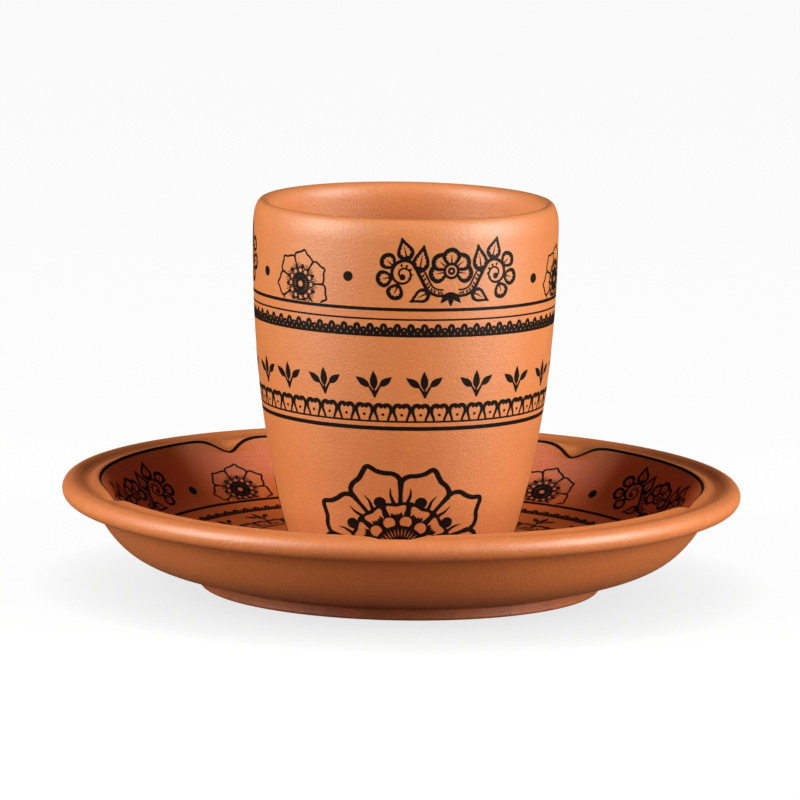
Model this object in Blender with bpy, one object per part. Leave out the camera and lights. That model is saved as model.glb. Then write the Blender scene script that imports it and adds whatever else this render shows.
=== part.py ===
"""Espresso cup: a handleless terracotta tumbler that stands loose in the seat of a deep saucer.

Both pieces are turned on the same upright axis. Lengths are metres, +Z is up, and the origin is on
the axis at the table, under the saucer's foot ring.
"""

import math

import bpy
from mathutils import Vector

# Cup: heights are measured from the cup's own base
CUP_HEIGHT = 0.0728
CUP_MOUTH_RADIUS = 0.0314
CUP_BASE_RADIUS = 0.0224
CUP_BASE_FLARE = 0.307
CUP_WALL = 0.0036
CUP_FLOOR = 0.0045
CUP_FLOOR_CORNER = 0.008
CUP_RIM_OUTER_ROUND = 0.0048
CUP_RIM_INNER_ROUND = 0.0030
CUP_BASE_ROUND = 0.0012
CUP_FOOT_FLAT = 0.0038
CUP_FOOT_RECESS = 0.0012
CUP_FOOT_DRAFT = 0.0006

# Saucer: heights are measured from the table
SAUCER_RADIUS = 0.0700
SAUCER_HEIGHT = 0.0222
SAUCER_ROLL_RADIUS = 0.0022
SAUCER_GROOVE_INSET = 0.0050
SAUCER_GROOVE_DEPTH = 0.0009
SAUCER_RIDGE_INSET = 0.0072
SAUCER_RIDGE_DROP = 0.0003
SAUCER_RIDGE_ROUND = 0.0010
SAUCER_WALL_SLOPE = math.radians(50)
SAUCER_WALL_RUN = 0.0115
SAUCER_FLOOR = 0.0040
SAUCER_FLOOR_RISE = 0.0022
SAUCER_FLOOR_EDGE_SLOPE = math.radians(22)
SAUCER_NOTCH_INSET = 0.0065
SAUCER_NOTCH_DROP = 0.0012
SAUCER_BOWL_TOP_SLOPE = math.radians(61)
SAUCER_BOWL_FOOT_SLOPE = math.radians(15)
SAUCER_BOWL_FULLNESS = 0.46
SAUCER_FOOT_RADIUS = 0.0414
SAUCER_FOOT_HEIGHT = 0.0024
SAUCER_FOOT_WIDTH = 0.0050
SAUCER_FOOT_ROUND = 0.0006
SAUCER_FOOT_RECESS = 0.0030
SAUCER_FOOT_DRAFT = 0.0008

# How the cup stands in the saucer
SEAT_DEPTH = 0.0008
SEAT_CLEARANCE = 0.0008
SEAT_DRAFT = 0.0006
SEAT_GAP = 0.0003

# Fineness of the turned surfaces
TURN_STEPS = 64
MERGE_DISTANCE = 0.00001
PLAIN_FULLNESS = 0.34

# Heights and radii that both pieces or several stretches share
SEAT_HEIGHT = SAUCER_FOOT_RECESS + SAUCER_FLOOR
SEAT_RADIUS = CUP_BASE_RADIUS + SEAT_CLEARANCE
CUP_STAND = SEAT_HEIGHT + SEAT_GAP
CUP_RIM_START = CUP_HEIGHT - CUP_RIM_OUTER_ROUND

# Finish: unglazed terracotta, linear colour
TERRACOTTA = (0.56, 0.17, 0.055, 1.0)
TERRACOTTA_ROUGHNESS = 0.62


def clear_scene():
    """Removes every object, so that the scene holds this part alone."""
    for obj in list(bpy.data.objects):
        bpy.data.objects.remove(obj, do_unlink=True)


def quarter(start, corner, end, steps):
    """Quarter of an ellipse from start to end, tangent to the two lines that meet at corner."""
    start, corner, end = Vector(start), Vector(corner), Vector(end)
    centre = start + end - corner
    points = []
    for step in range(steps + 1):
        turn = 0.5 * math.pi * step / steps
        points.append(centre + (start - centre) * math.cos(turn) + (end - centre) * math.sin(turn))
    return points


def arc(centre, radius, first, last, steps):
    """Circular arc about centre between two angles from +X, in radians."""
    points = []
    for step in range(steps + 1):
        turn = first + (last - first) * step / steps
        points.append(Vector(centre) + radius * Vector((math.cos(turn), math.sin(turn))))
    return points


def bow(start, leave, end, arrive, steps, fullness=PLAIN_FULLNESS):
    """Cubic curve that leaves start and arrives at end along two directions, in radians.

    Fullness is the share of the chord for which the curve holds each direction.
    """
    start, end = Vector(start), Vector(end)
    reach = fullness * (end - start).length
    first = start + reach * Vector((math.cos(leave), math.sin(leave)))
    second = end - reach * Vector((math.cos(arrive), math.sin(arrive)))
    points = []
    for step in range(steps + 1):
        t = step / steps
        u = 1.0 - t
        points.append(u ** 3 * start + 3 * u * u * t * first + 3 * u * t * t * second + t ** 3 * end)
    return points


def cup_outside_radius(height):
    """Outside radius of the cup: flares at the base and stands upright below the rim."""
    share = min(height / CUP_RIM_START, 1.0)
    rise = share * share * (3.0 - 2.0 * share)
    flare = share * (1.0 - share) ** 2 * CUP_BASE_FLARE * CUP_RIM_START
    return CUP_BASE_RADIUS + (CUP_MOUTH_RADIUS - CUP_BASE_RADIUS) * rise + flare


def cup_wall(first, last, offset, steps):
    """Stretch of the cup's wall between two heights, moved out by offset."""
    points = []
    for step in range(steps + 1):
        height = first + (last - first) * step / steps
        points.append(Vector((cup_outside_radius(height) + offset, height)))
    return points


def cup_profile():
    """Half section of the cup: inner floor, inner wall, rim, outer wall, foot ring and recess."""
    floor = CUP_FOOT_RECESS + CUP_FLOOR
    corner_top = floor + CUP_FLOOR_CORNER
    inside = cup_outside_radius(corner_top) - CUP_WALL
    inner_rim = CUP_HEIGHT - CUP_RIM_INNER_ROUND
    inner_mouth = CUP_MOUTH_RADIUS - CUP_WALL
    crest = (CUP_MOUTH_RADIUS - 0.5 * CUP_WALL, CUP_HEIGHT)
    edge = cup_outside_radius(CUP_BASE_ROUND)
    base = cup_outside_radius(0.0)
    flat_outer = base - CUP_BASE_ROUND
    flat_inner = flat_outer - CUP_FOOT_FLAT

    points = [(0.0, floor)]
    points += quarter((inside - CUP_FLOOR_CORNER, floor), (inside, floor), (inside, corner_top), 5)
    points += cup_wall(corner_top, min(inner_rim, CUP_RIM_START), -CUP_WALL, 6)
    points += quarter((inner_mouth, inner_rim), (inner_mouth, CUP_HEIGHT), crest, 4)
    points += quarter(crest, (CUP_MOUTH_RADIUS, CUP_HEIGHT), (CUP_MOUTH_RADIUS, CUP_RIM_START), 6)
    points += cup_wall(CUP_RIM_START, CUP_BASE_ROUND, 0.0, 9)
    points += quarter((edge, CUP_BASE_ROUND), (base, 0.0), (flat_outer, 0.0), 3)
    points += [(flat_inner, 0.0), (flat_inner - CUP_FOOT_DRAFT, CUP_FOOT_RECESS), (0.0, CUP_FOOT_RECESS)]
    return points


def saucer_top():
    """Upper half of the saucer's section: cup seat, floor, inner wall, ridge and groove."""
    floor_start = SEAT_HEIGHT + SEAT_DEPTH
    ridge = Vector((SAUCER_RADIUS - SAUCER_RIDGE_INSET, SAUCER_HEIGHT - SAUCER_RIDGE_DROP))
    floor_edge = (ridge.x - SAUCER_WALL_RUN, floor_start + SAUCER_FLOOR_RISE)
    groove = (SAUCER_RADIUS - SAUCER_GROOVE_INSET, SAUCER_HEIGHT - SAUCER_GROOVE_DEPTH)
    ridge_centre = ridge - Vector((0.0, SAUCER_RIDGE_ROUND))
    upright = 0.5 * math.pi
    rounding = arc(ridge_centre, SAUCER_RIDGE_ROUND, upright + SAUCER_WALL_SLOPE, upright, 4)
    seat_edge = (SEAT_RADIUS + SEAT_DRAFT, floor_start)

    points = [(0.0, SEAT_HEIGHT), (SEAT_RADIUS, SEAT_HEIGHT)]
    points += bow(seat_edge, 0.0, floor_edge, SAUCER_FLOOR_EDGE_SLOPE, 6)
    points += bow(floor_edge, SAUCER_FLOOR_EDGE_SLOPE, rounding[0], SAUCER_WALL_SLOPE, 6)
    points += rounding
    points += bow(ridge, 0.0, groove, 0.0, 4)
    return points


def saucer_roll(groove):
    """Rolled rim: rises out of the groove, turns over the edge and runs in to the notch below."""
    roll_centre = (SAUCER_RADIUS - SAUCER_ROLL_RADIUS, SAUCER_HEIGHT - SAUCER_ROLL_RADIUS)
    roll_foot = SAUCER_HEIGHT - 2.0 * SAUCER_ROLL_RADIUS
    notch = (SAUCER_RADIUS - SAUCER_NOTCH_INSET, roll_foot - SAUCER_NOTCH_DROP)
    tube = arc(roll_centre, SAUCER_ROLL_RADIUS, 0.5 * math.pi, -0.5 * math.pi, 10)
    points = bow(groove, 0.0, tube[0], 0.0, 3)
    points += tube
    points += bow(tube[-1], math.pi, notch, math.pi + SAUCER_BOWL_TOP_SLOPE, 4)
    return points


def saucer_underside(notch):
    """Outside of the bowl, the foot ring and the recess inside it."""
    foot_top = (SAUCER_FOOT_RADIUS, SAUCER_FOOT_HEIGHT)
    foot_side = (SAUCER_FOOT_RADIUS, SAUCER_FOOT_ROUND)
    foot_corner = (SAUCER_FOOT_RADIUS, 0.0)
    foot_flat = (SAUCER_FOOT_RADIUS - SAUCER_FOOT_ROUND, 0.0)
    foot_inner = SAUCER_FOOT_RADIUS - SAUCER_FOOT_WIDTH
    recess_edge = (foot_inner - SAUCER_FOOT_DRAFT, SAUCER_FOOT_RECESS)

    top_slope = math.pi + SAUCER_BOWL_TOP_SLOPE
    foot_slope = math.pi + SAUCER_BOWL_FOOT_SLOPE
    points = bow(notch, top_slope, foot_top, foot_slope, 8, SAUCER_BOWL_FULLNESS)
    points += quarter(foot_side, foot_corner, foot_flat, 3)
    points += [(foot_inner, 0.0), recess_edge, (0.0, SAUCER_FOOT_RECESS)]
    return points


def saucer_profile():
    """Half section of the saucer, from the seat over the rolled rim to the recess below."""
    points = saucer_top()
    points += saucer_roll(points[-1])
    points += saucer_underside(points[-1])
    return points


def without_repeats(points):
    """The section's points, with those that close one stretch and open the next kept once."""
    kept = [Vector(points[0])]
    for point in points[1:]:
        if (Vector(point) - kept[-1]).length > MERGE_DISTANCE:
            kept.append(Vector(point))
    return kept


def fired_clay(name):
    """Plain terracotta finish."""
    material = bpy.data.materials.new(name)
    material.use_nodes = True
    shader = material.node_tree.nodes["Principled BSDF"]
    shader.inputs["Base Color"].default_value = TERRACOTTA
    shader.inputs["Roughness"].default_value = TERRACOTTA_ROUGHNESS
    shader.inputs["Metallic"].default_value = 0.0
    return material


def turned(name, section, material):
    """Solid of revolution: the section at +X turned about Z."""
    points = without_repeats(section)
    mesh = bpy.data.meshes.new(name)
    edges = [(index, index + 1) for index in range(len(points) - 1)]
    mesh.from_pydata([(point.x, 0.0, point.y) for point in points], edges, [])
    mesh.materials.append(material)
    obj = bpy.data.objects.new(name, mesh)
    bpy.context.scene.collection.objects.link(obj)
    turn = obj.modifiers.new("turn", "SCREW")
    turn.axis = "Z"
    turn.angle = 2.0 * math.pi
    turn.steps = TURN_STEPS
    turn.render_steps = TURN_STEPS
    turn.use_merge_vertices = True
    turn.merge_threshold = MERGE_DISTANCE
    turn.use_smooth_shade = True
    return obj


def main():
    clear_scene()
    saucer = turned("saucer", saucer_profile(), fired_clay("saucer_terracotta"))
    cup = turned("cup", cup_profile(), fired_clay("cup_terracotta"))
    cup.parent = saucer
    cup.location = (0.0, 0.0, CUP_STAND)


main()
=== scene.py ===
"""Terracotta espresso cup on its saucer: turned clay bodies and the black printed ornament.

Drawn lengths are millimetres; they become metres when they are laid on the clay.
A turn is an angle about the upright axis that grows to the viewer's right. It counts from the front
on the outside of the cup, and from the back on the inside of the saucer.
"""
import math
from collections import namedtuple

import bmesh
import bpy
import numpy as np
from mathutils import Matrix, Vector
from mathutils.geometry import delaunay_2d_cdt


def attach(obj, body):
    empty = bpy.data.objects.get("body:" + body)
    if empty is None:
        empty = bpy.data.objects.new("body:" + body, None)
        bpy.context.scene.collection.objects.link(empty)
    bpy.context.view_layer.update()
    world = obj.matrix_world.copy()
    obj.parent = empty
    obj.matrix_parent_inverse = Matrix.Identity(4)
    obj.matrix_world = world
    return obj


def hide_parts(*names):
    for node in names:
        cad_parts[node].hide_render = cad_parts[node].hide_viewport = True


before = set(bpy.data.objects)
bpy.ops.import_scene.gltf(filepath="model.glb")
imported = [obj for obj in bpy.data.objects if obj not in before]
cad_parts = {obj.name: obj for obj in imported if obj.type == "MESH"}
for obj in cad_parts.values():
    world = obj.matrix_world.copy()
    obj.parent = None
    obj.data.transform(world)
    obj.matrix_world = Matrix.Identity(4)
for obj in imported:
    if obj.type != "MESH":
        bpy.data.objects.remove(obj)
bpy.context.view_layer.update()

MM = 0.001
FULL_TURN = 2 * math.pi

# Clay bodies.
CUP_TURNS = 240
SAUCER_TURNS = 320
CUSP_STEP = math.radians(0.4)
CUSP_STEPS = 6
CURVE_STEP = 0.7
PLAIN_STEP = 5.0
CORNER_BEND = math.radians(38)
CORNER_BREAK = 0.3
STRAIGHT_WAY = 1e-3
SEAM_WELD = 1e-6
EDGE_CURVE = 0.55
HOLLOW_DIRT_AND_SHADE_CURVE = 0.35
INSIDE_LIGHT_FADE = 4.0
# Painted contact shade: the clay is darkened from the table up to this height, through the hollow mark.
FOOT_SHADE_HEIGHT = 4.0
FOOT_SHADE_DEPTH = 3.0

# Printed film, and the fewest steps that draw its shapes.
INK_LIFT = 0.035
INK_BODY = 0.11
LINE_STEP = 0.28
FILL_STEP = 0.8
CUT_TOLERANCE = 1e-4
CUT_MARGIN = 1.0
BLOB_CORNERS = 10
LEAF_STEPS = 5
SPIRAL_STEPS = 14
SPIRAL_TIGHTENS = 0.8
RING_CELLS = 180
SOFT_FOLD = math.radians(30)

# Cup ornament: heights above the table.
CUP_TOP_RING = 61.95
CUP_TOP_RING_WIDTH = 0.66
CUP_THIN_RING = 59.9
CUP_THIN_RING_WIDTH = 0.36
CUP_LACE_FOOT = 56.3
CUP_LACE_CELLS = 70
CUP_SPRIG_FOOT = 43.6
CUP_SPRIG_TURNS = np.radians([-67.4, -50.8, -32.0, -11.1, 8.6, 29.9, 50.3, *np.linspace(70.5, 272.4, 11)])
CUP_ARCADE_FOOT = 38.72
CUP_ARCADE_CELLS = 48
CUP_ARCADE_TURN = math.radians(-4.1)
CUP_ARCADE_RING_WIDTH = 0.38
CUP_LOW_RING = 37.27
CUP_LOW_RING_WIDTH = 0.84
CUP_REPEATS = 3
CUP_ROSETTE_TURN = math.radians(-42.6)
CUP_ROSETTE_HEIGHT = 65.85
CUP_ROSETTE_LINE = 0.42
CUP_DOT_TURN = math.radians(21)
CUP_LEFT_DOT_HEIGHT = 67.2
CUP_RIGHT_DOT_HEIGHT = 68.35
CUP_SCROLL_HEIGHT = 69.7
CUP_FLOWER_TURN = math.radians(-0.3)
CUP_FLOWER_HEIGHT = 11.4
CUP_FLOWER_WRAP_HEIGHT = 15.0
CUP_FLOWER_RADIUS = 19.1
CUP_PRINT_FOOT = 8.8
BAND_LEAN = 0.5
BAND_LEAN_TURN = math.radians(-12)

# Saucer ornament: radii from the axis.
SAUCER_REPEATS = 5
SAUCER_TOP_RING = 51.45
SAUCER_TOP_RING_WIDTH = 0.8
SAUCER_LACE_FOOT = 46.8
SAUCER_LACE_CELLS = 105
SAUCER_LACE_TALL = 0.75
SAUCER_SPRIG_FOOT = 41.3
SAUCER_SPRIGS = 25
SAUCER_SPRIG_SIZE = 0.8
SAUCER_ARCADE_FOOT = 37.2
SAUCER_ARCADE_CELLS = 64
SAUCER_ARCADE_RING_WIDTH = 0.38
SAUCER_LOW_RING = 35.9
SAUCER_LOW_RING_WIDTH = 0.7
SAUCER_ROSETTE_TURN = math.radians(-38.8)
SAUCER_ROSETTE_AT = 54.55
SAUCER_ROSETTE_LINE = 0.44
SAUCER_DOT_TURN = math.radians(13.5)
SAUCER_DOT_AT = 55.6
SAUCER_SCROLL_AT = 57.35
SAUCER_MOTIF_WIDE = 1.08
SAUCER_MOTIF_TALL = 0.88

# Saucer rim: five places where it was pressed down by hand, and the line that follows them.
CUSP_TURNS = np.radians([-110.4, -37.3, 36.6, 109.9, 180.8])
LOBE_SINKS = np.array([-0.25, 0.2, -0.05, -0.3, 0.0])
LOBE_REACH = 4.5
CUSP_HALF = math.radians(9.5)
CUSP_TIP = 0.12
CUSP_FALL = 3
RIDGE_AT = 62.8
RAMP_FOOT_AT = 60.15
RAMP_TOP_AT = 66.2
RIM_FROM = 56.0
RIM_TO = 67.5
RIM_STEP = 0.4
SCALLOP_PEAK_AT = 62.15
SCALLOP_CUSP_AT = 60.35
SCALLOP_FALL = 1.33
SCALLOP_LOBE_WIDTH = 0.62
SCALLOP_CUSP_WIDTH = 0.98
SCALLOP_FILL = 0.3
SAG_DEPTH = 0.9
SAG_TURN = math.radians(-162)
SAG_FOCUS = 3
SAG_FROM = 44.0
SAG_TO = 64.0

# Photograph's frame: the camera's fitted place, aim, roll and focal length in image widths.
CAMERA_AT = Vector((0.0, -1.5838, 0.2902))
CAMERA_AIM = Vector((-0.0006, 0.0, 0.03856))
CAMERA_ROLL = 0.0171
CAMERA_FOCAL = 9.723375
SENSOR_WIDTH = 36.0
CLIP_NEAR = 0.05
CLIP_FAR = 50.0

Wall = namedtuple("Wall", "facing reach radius height out_r out_z sink sag")
Print = namedtuple("Print", "points triangles joins")
Place = namedtuple("Place", "turn reach radius")


def half_section(node):
    """Radius and height of a turned node's outline, from the axis above to the axis below."""
    mesh = bmesh.new()
    mesh.from_mesh(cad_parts[node].data)
    bmesh.ops.remove_doubles(mesh, verts=mesh.verts[:], dist=SEAM_WELD)
    seam = {v for v in mesh.verts if abs(v.co.y) < SEAM_WELD and v.co.x > 0}

    def beside(vert):
        return [e.other_vert(vert) for e in vert.link_edges if e.other_vert(vert) in seam]

    walk = [max((v for v in seam if len(beside(v)) == 1), key=lambda v: v.co.z)]
    while True:
        onward = [v for v in beside(walk[-1]) if v not in walk[-2:]]
        if not onward:
            break
        walk.append(onward[0])
    points = [(v.co.x / MM, v.co.z / MM) for v in walk]
    mesh.free()
    return np.array([(0.0, points[0][1])] + points + [(0.0, points[-1][1])])


def unit(vectors):
    return vectors / np.linalg.norm(vectors, axis=-1, keepdims=True)


def eased(section):
    """The outline with its facets drawn out into curves and its corners broken."""
    chords = np.diff(section, axis=0)
    lengths = np.linalg.norm(chords, axis=1)
    ways = unit(chords)
    stops = [(section[0], ways[0])]
    for at, before, after, back, on in zip(section[1:-1], ways, ways[1:], lengths, lengths[1:]):
        if math.acos(min(1.0, float(before @ after))) > CORNER_BEND:
            cut = min(CORNER_BREAK, back / 3, on / 3)
            stops += [(at - before * cut, before), (at + after * cut, after)]
        else:
            stops.append((at, unit(before * back + after * on)))
    stops.append((section[-1], ways[-1]))
    line = []
    for (start, leave), (end, arrive) in zip(stops, stops[1:]):
        span = np.linalg.norm(end - start)
        way = (end - start) / span
        bent = min(leave @ way, arrive @ way) < 1 - STRAIGHT_WAY
        steps = math.ceil(span / (CURVE_STEP if bent else PLAIN_STEP)) + 2 * bent
        u = (np.arange(steps) / steps)[:, None]
        line.append((1 + 2 * u) * (1 - u) ** 2 * start + u * (1 - u) ** 2 * span * leave
                    + u ** 2 * (3 - 2 * u) * end - u ** 2 * (1 - u) * span * arrive)
    return np.concatenate(line + [section[-1:]])


def outward(section):
    """Directions square to the outline, out of the clay."""
    way = unit(np.gradient(section, axis=0))
    return np.stack([-way[:, 1], way[:, 0]], 1)


def level(radius, turn):
    """Neither sunk nor hanging: the outline is the same all round."""
    return np.zeros(np.broadcast(radius, turn).shape)


def along(section):
    """The way along an outline from its first point to each point."""
    return np.concatenate([[0.0], np.cumsum(np.linalg.norm(np.diff(section, axis=0), axis=1))])


def wall_of(section, facing, sink=level, sag=level):
    """A printed stretch of an outline, with the way along it."""
    out = -facing * outward(section)
    return Wall(facing, along(section), section[:, 0], section[:, 1], out[:, 0], out[:, 1], sink, sag)


def reach_at_height(wall, height):
    return float(np.interp(height, wall.height, wall.reach))


def reach_at_radius(wall, radius):
    return float(np.interp(radius, wall.radius, wall.reach))


def on_wall(wall, turn, reach, lift):
    """Points in metres on a wall, raised from the clay by lift."""
    radius = np.interp(reach, wall.reach, wall.radius) + lift * np.interp(reach, wall.reach, wall.out_r)
    height = np.interp(reach, wall.reach, wall.height) + lift * np.interp(reach, wall.reach, wall.out_z)
    across = np.sin(turn) * radius
    away = -wall.facing * np.cos(turn) * radius
    return np.stack([across, away, height - wall.sink(radius, turn) - wall.sag(radius, turn)], 1) * MM


def new_piece(name, points, faces):
    """A smoothly shaded piece from points in metres."""
    mesh = bpy.data.meshes.new(name)
    mesh.from_pydata(points.tolist(), [], faces)
    mesh.polygons.foreach_set("use_smooth", [True] * len(mesh.polygons))
    piece = bpy.data.objects.new(name, mesh)
    bpy.context.collection.objects.link(piece)
    return piece


def turned_clay(name, section, turns, inside_light_to, wall=None):
    """A turned clay body; one whose outline starts with a wall takes the wall's sink and sag.

    Its inside, which is tinted with painted light and shade, ends at the given distance in millimetres along
    the outline.
    """
    radius = section[1:-1, :1]
    height = section[1:-1, 1:] + np.zeros(len(turns))
    if wall is not None:
        printed = len(wall.reach) - 1
        height[:printed] -= wall.sink(radius[:printed], turns)
        height -= wall.sag(radius, turns)
    grid = np.stack([radius * np.sin(turns), radius * np.cos(turns), height], 2).reshape(-1, 3)
    poles = [(0, 0, section[0, 1]), (0, 0, section[-1, 1])]
    top = len(grid)
    index = np.arange(top).reshape(-1, len(turns))
    beside = np.roll(index, 1, axis=1)
    quads = np.stack([index[:-1], index[1:], beside[1:], beside[:-1]], 2).reshape(-1, 4)
    faces = quads.tolist()
    faces += [(top, a, b) for a, b in zip(index[0].tolist(), beside[0].tolist())]
    faces += [(top + 1, b, a) for a, b in zip(index[-1].tolist(), beside[-1].tolist())]
    piece = new_piece(name, np.concatenate([grid, poles]) * MM, faces)
    bend = bends(section)[1:-1]
    within = inside_light_to - along(section)[1:-1]
    # Painted contact shade towards the foot, which also holds off the rubbed edge there.
    foot_shade = np.clip(1 - (section[1:-1, 1] - section[:, 1].min()) / FOOT_SHADE_HEIGHT, 0, 1)
    # hollow darkens creases, partly dirt and partly painted shade, and holds the painted foot shade.
    marks = {"edge": np.clip(bend / EDGE_CURVE, 0, 1) * (1 - foot_shade),
             "hollow": np.clip(-bend / HOLLOW_DIRT_AND_SHADE_CURVE, 0, 1) + FOOT_SHADE_DEPTH * foot_shade,
             # inside carries painted light inside the cup and painted shade inside the saucer.
             "inside": np.clip(within / INSIDE_LIGHT_FADE, 0, 1)}
    for mark, amount in marks.items():
        values = np.concatenate([np.repeat(amount, len(turns)), [0, 0]])
        layer = piece.data.attributes.new(mark, "FLOAT", "POINT")
        layer.data.foreach_set("value", values.astype(np.float32))
    return piece


def bends(section):
    """How sharply the outline turns at each point, per millimetre, above zero where it stands out."""
    way = unit(np.gradient(section, axis=0))
    step = np.linalg.norm(np.gradient(section, axis=0), axis=1)
    change = np.gradient(way, axis=0)
    sharp = (way[:, 1] * change[:, 0] - way[:, 0] * change[:, 1]) / step
    padded = np.pad(sharp, 1, mode="edge")
    return (padded[:-2] + 2 * padded[1:-1] + padded[2:]) / 4


def ink(outline):
    return True, np.asarray(outline, float)


def clay(outline):
    return False, np.asarray(outline, float)


def drawn(points, closed=False):
    """A flowing line through the points; a third column, the line's width, flows with it."""
    points = np.asarray(points, float)
    if closed:
        held = np.concatenate([points[-1:], points, points[:2]])
    else:
        held = np.concatenate([2 * points[:1] - points[1:2], points, 2 * points[-1:] - points[-2:-1]])
    line = []
    for a, b, c, d in zip(held, held[1:], held[2:], held[3:]):
        steps = max(2, math.ceil(np.linalg.norm((c - b)[:2]) / LINE_STEP))
        for u in np.arange(steps) / steps:
            line.append(0.5 * (2 * b + (c - a) * u + (2 * a - 5 * b + 4 * c - d) * u ** 2
                               + (3 * b - a - 3 * c + d) * u ** 3))
    if not closed:
        line.append(points[-1])
    return np.array(line)


def stroke(line, width=None):
    """A line as a closed ribbon, its width either one value or the line's third column."""
    line = np.asarray(line, float)
    half = line[:, 2:3] / 2 if width is None else width / 2
    way = unit(np.gradient(line[:, :2], axis=0))
    side = np.stack([-way[:, 1], way[:, 0]], 1) * half
    return np.concatenate([line[:, :2] + side, (line[:, :2] - side)[::-1]])


def blob(x, y, wide, tall=None, tilt=0.0):
    """An oval by its half width and half height."""
    tall = wide if tall is None else tall
    count = max(BLOB_CORNERS, math.ceil(FULL_TURN * max(wide, tall) / LINE_STEP))
    turn = np.arange(count) * FULL_TURN / count
    oval = np.stack([wide * np.cos(turn), tall * np.sin(turn)], 1)
    return swung(oval, tilt) + (x, y)


def block(left, low, right, high):
    return [(left, low), (right, low), (right, high), (left, high)]


def swung(points, angle):
    points = np.array(points, float)
    x, y = points[:, 0].copy(), points[:, 1].copy()
    points[:, 0] = x * math.cos(angle) - y * math.sin(angle)
    points[:, 1] = x * math.sin(angle) + y * math.cos(angle)
    return points


def mirrored(points):
    points = np.array(points, float)
    points[:, 0] *= -1
    return points


def between(base, tip, shape):
    """A shape drawn along x from 0 to 1, laid between two points; its y stays in millimetres."""
    base, tip = np.asarray(base, float), np.asarray(tip, float)
    way = unit(tip - base)
    side = np.array([-way[1], way[0]])
    shape = np.asarray(shape, float)
    return base + shape[:, :1] * (tip - base) + shape[:, 1:2] * side


def leaf(base, tip, width, belly=0.85):
    """A pointed solid leaf."""
    count = max(LEAF_STEPS, math.ceil(math.dist(base, tip) / LINE_STEP))
    u = np.arange(1, count) / count
    half = width / 2 * np.sin(math.pi * u ** belly)
    upper = np.stack([u, half], 1)
    lower = np.stack([u, -half], 1)[::-1]
    return between(base, tip, np.concatenate([[(0, 0)], lower[::-1], [(1, 0)], upper[::-1]]))


def spiral(x, y, outer, inner, start, turns):
    """Points of a spiral that winds inward; turns above zero wind to the left."""
    count = math.ceil(abs(turns) * SPIRAL_STEPS)
    u = np.arange(count + 1) / count
    angle = start + FULL_TURN * turns * u
    radius = outer + (inner - outer) * u ** SPIRAL_TIGHTENS
    return np.stack([x + radius * np.cos(angle), y + radius * np.sin(angle)], 1)


def polar(angle, radius):
    """A point of a flower, its angle to the right of straight up."""
    return np.array([math.sin(angle) * radius, math.cos(angle) * radius])


def inside(outline, spots):
    """Which spots an outline goes round."""
    found = np.zeros(len(spots), bool)
    low, high = outline.min(0), outline.max(0)
    near = np.flatnonzero(((spots >= low) & (spots <= high)).all(1))
    if not len(near):
        return found
    x, y = spots[near, 0][:, None], spots[near, 1][:, None]
    x0, y0 = outline.T
    x1, y1 = np.roll(outline, -1, axis=0).T
    lean = (x1 - x0) * (y - y0) - (x - x0) * (y1 - y0)
    rising = (y0 <= y) & (y1 > y) & (lean > 0)
    falling = (y0 > y) & (y1 <= y) & (lean < 0)
    found[near] = (rising.sum(1) - falling.sum(1)) != 0
    return found


def cut_print(shapes, pitch=None, fill=FILL_STEP):
    """Triangles of the ink that shapes leave when each is laid over those before it.

    With a pitch, only one cell of a border stays, and joins pairs its right side with its left.
    """
    outlines = [outline for _, outline in shapes]
    low = np.min([o.min(0) for o in outlines], axis=0)
    high = np.max([o.max(0) for o in outlines], axis=0)
    points, edges = [], []
    for outline in outlines:
        first = len(points)
        points += outline.tolist()
        count = len(outline)
        edges += [(first + i, first + (i + 1) % count) for i in range(count)]
    columns = np.arange(low[0], high[0], fill)
    if pitch is not None:
        columns = np.linspace(0, pitch, max(2, round(pitch / fill) + 1))
        for side in (0, pitch):
            edges.append((len(points), len(points) + 1))
            points += [(side, low[1] - CUT_MARGIN), (side, high[1] + CUT_MARGIN)]
    rows = np.arange(low[1], high[1], fill)
    points += [(x, y) for x in columns for y in rows]
    cut = delaunay_2d_cdt([Vector(p) for p in points], edges, [], 0, CUT_TOLERANCE)
    corners = np.array([tuple(v) for v in cut[0]])
    triangles = np.array(cut[2])
    middles = corners[triangles].mean(1)
    inked = np.zeros(len(triangles), bool)
    for is_ink, outline in shapes:
        inked[inside(outline, middles)] = is_ink
    if pitch is not None:
        inked &= (middles[:, 0] > 0) & (middles[:, 0] < pitch)
    triangles = triangles[inked]
    used, triangles = np.unique(triangles, return_inverse=True)
    corners = corners[used]
    triangles = triangles.reshape(-1, 3)
    joins = {}
    if pitch is not None:
        def upwards(side):
            found = np.flatnonzero(np.abs(corners[:, 0] - side) < 2 * CUT_TOLERANCE)
            return found[np.argsort(corners[found, 1])].tolist()
        joins = dict(zip(upwards(pitch), upwards(0)))
    return Print(corners, triangles, joins)


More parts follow.
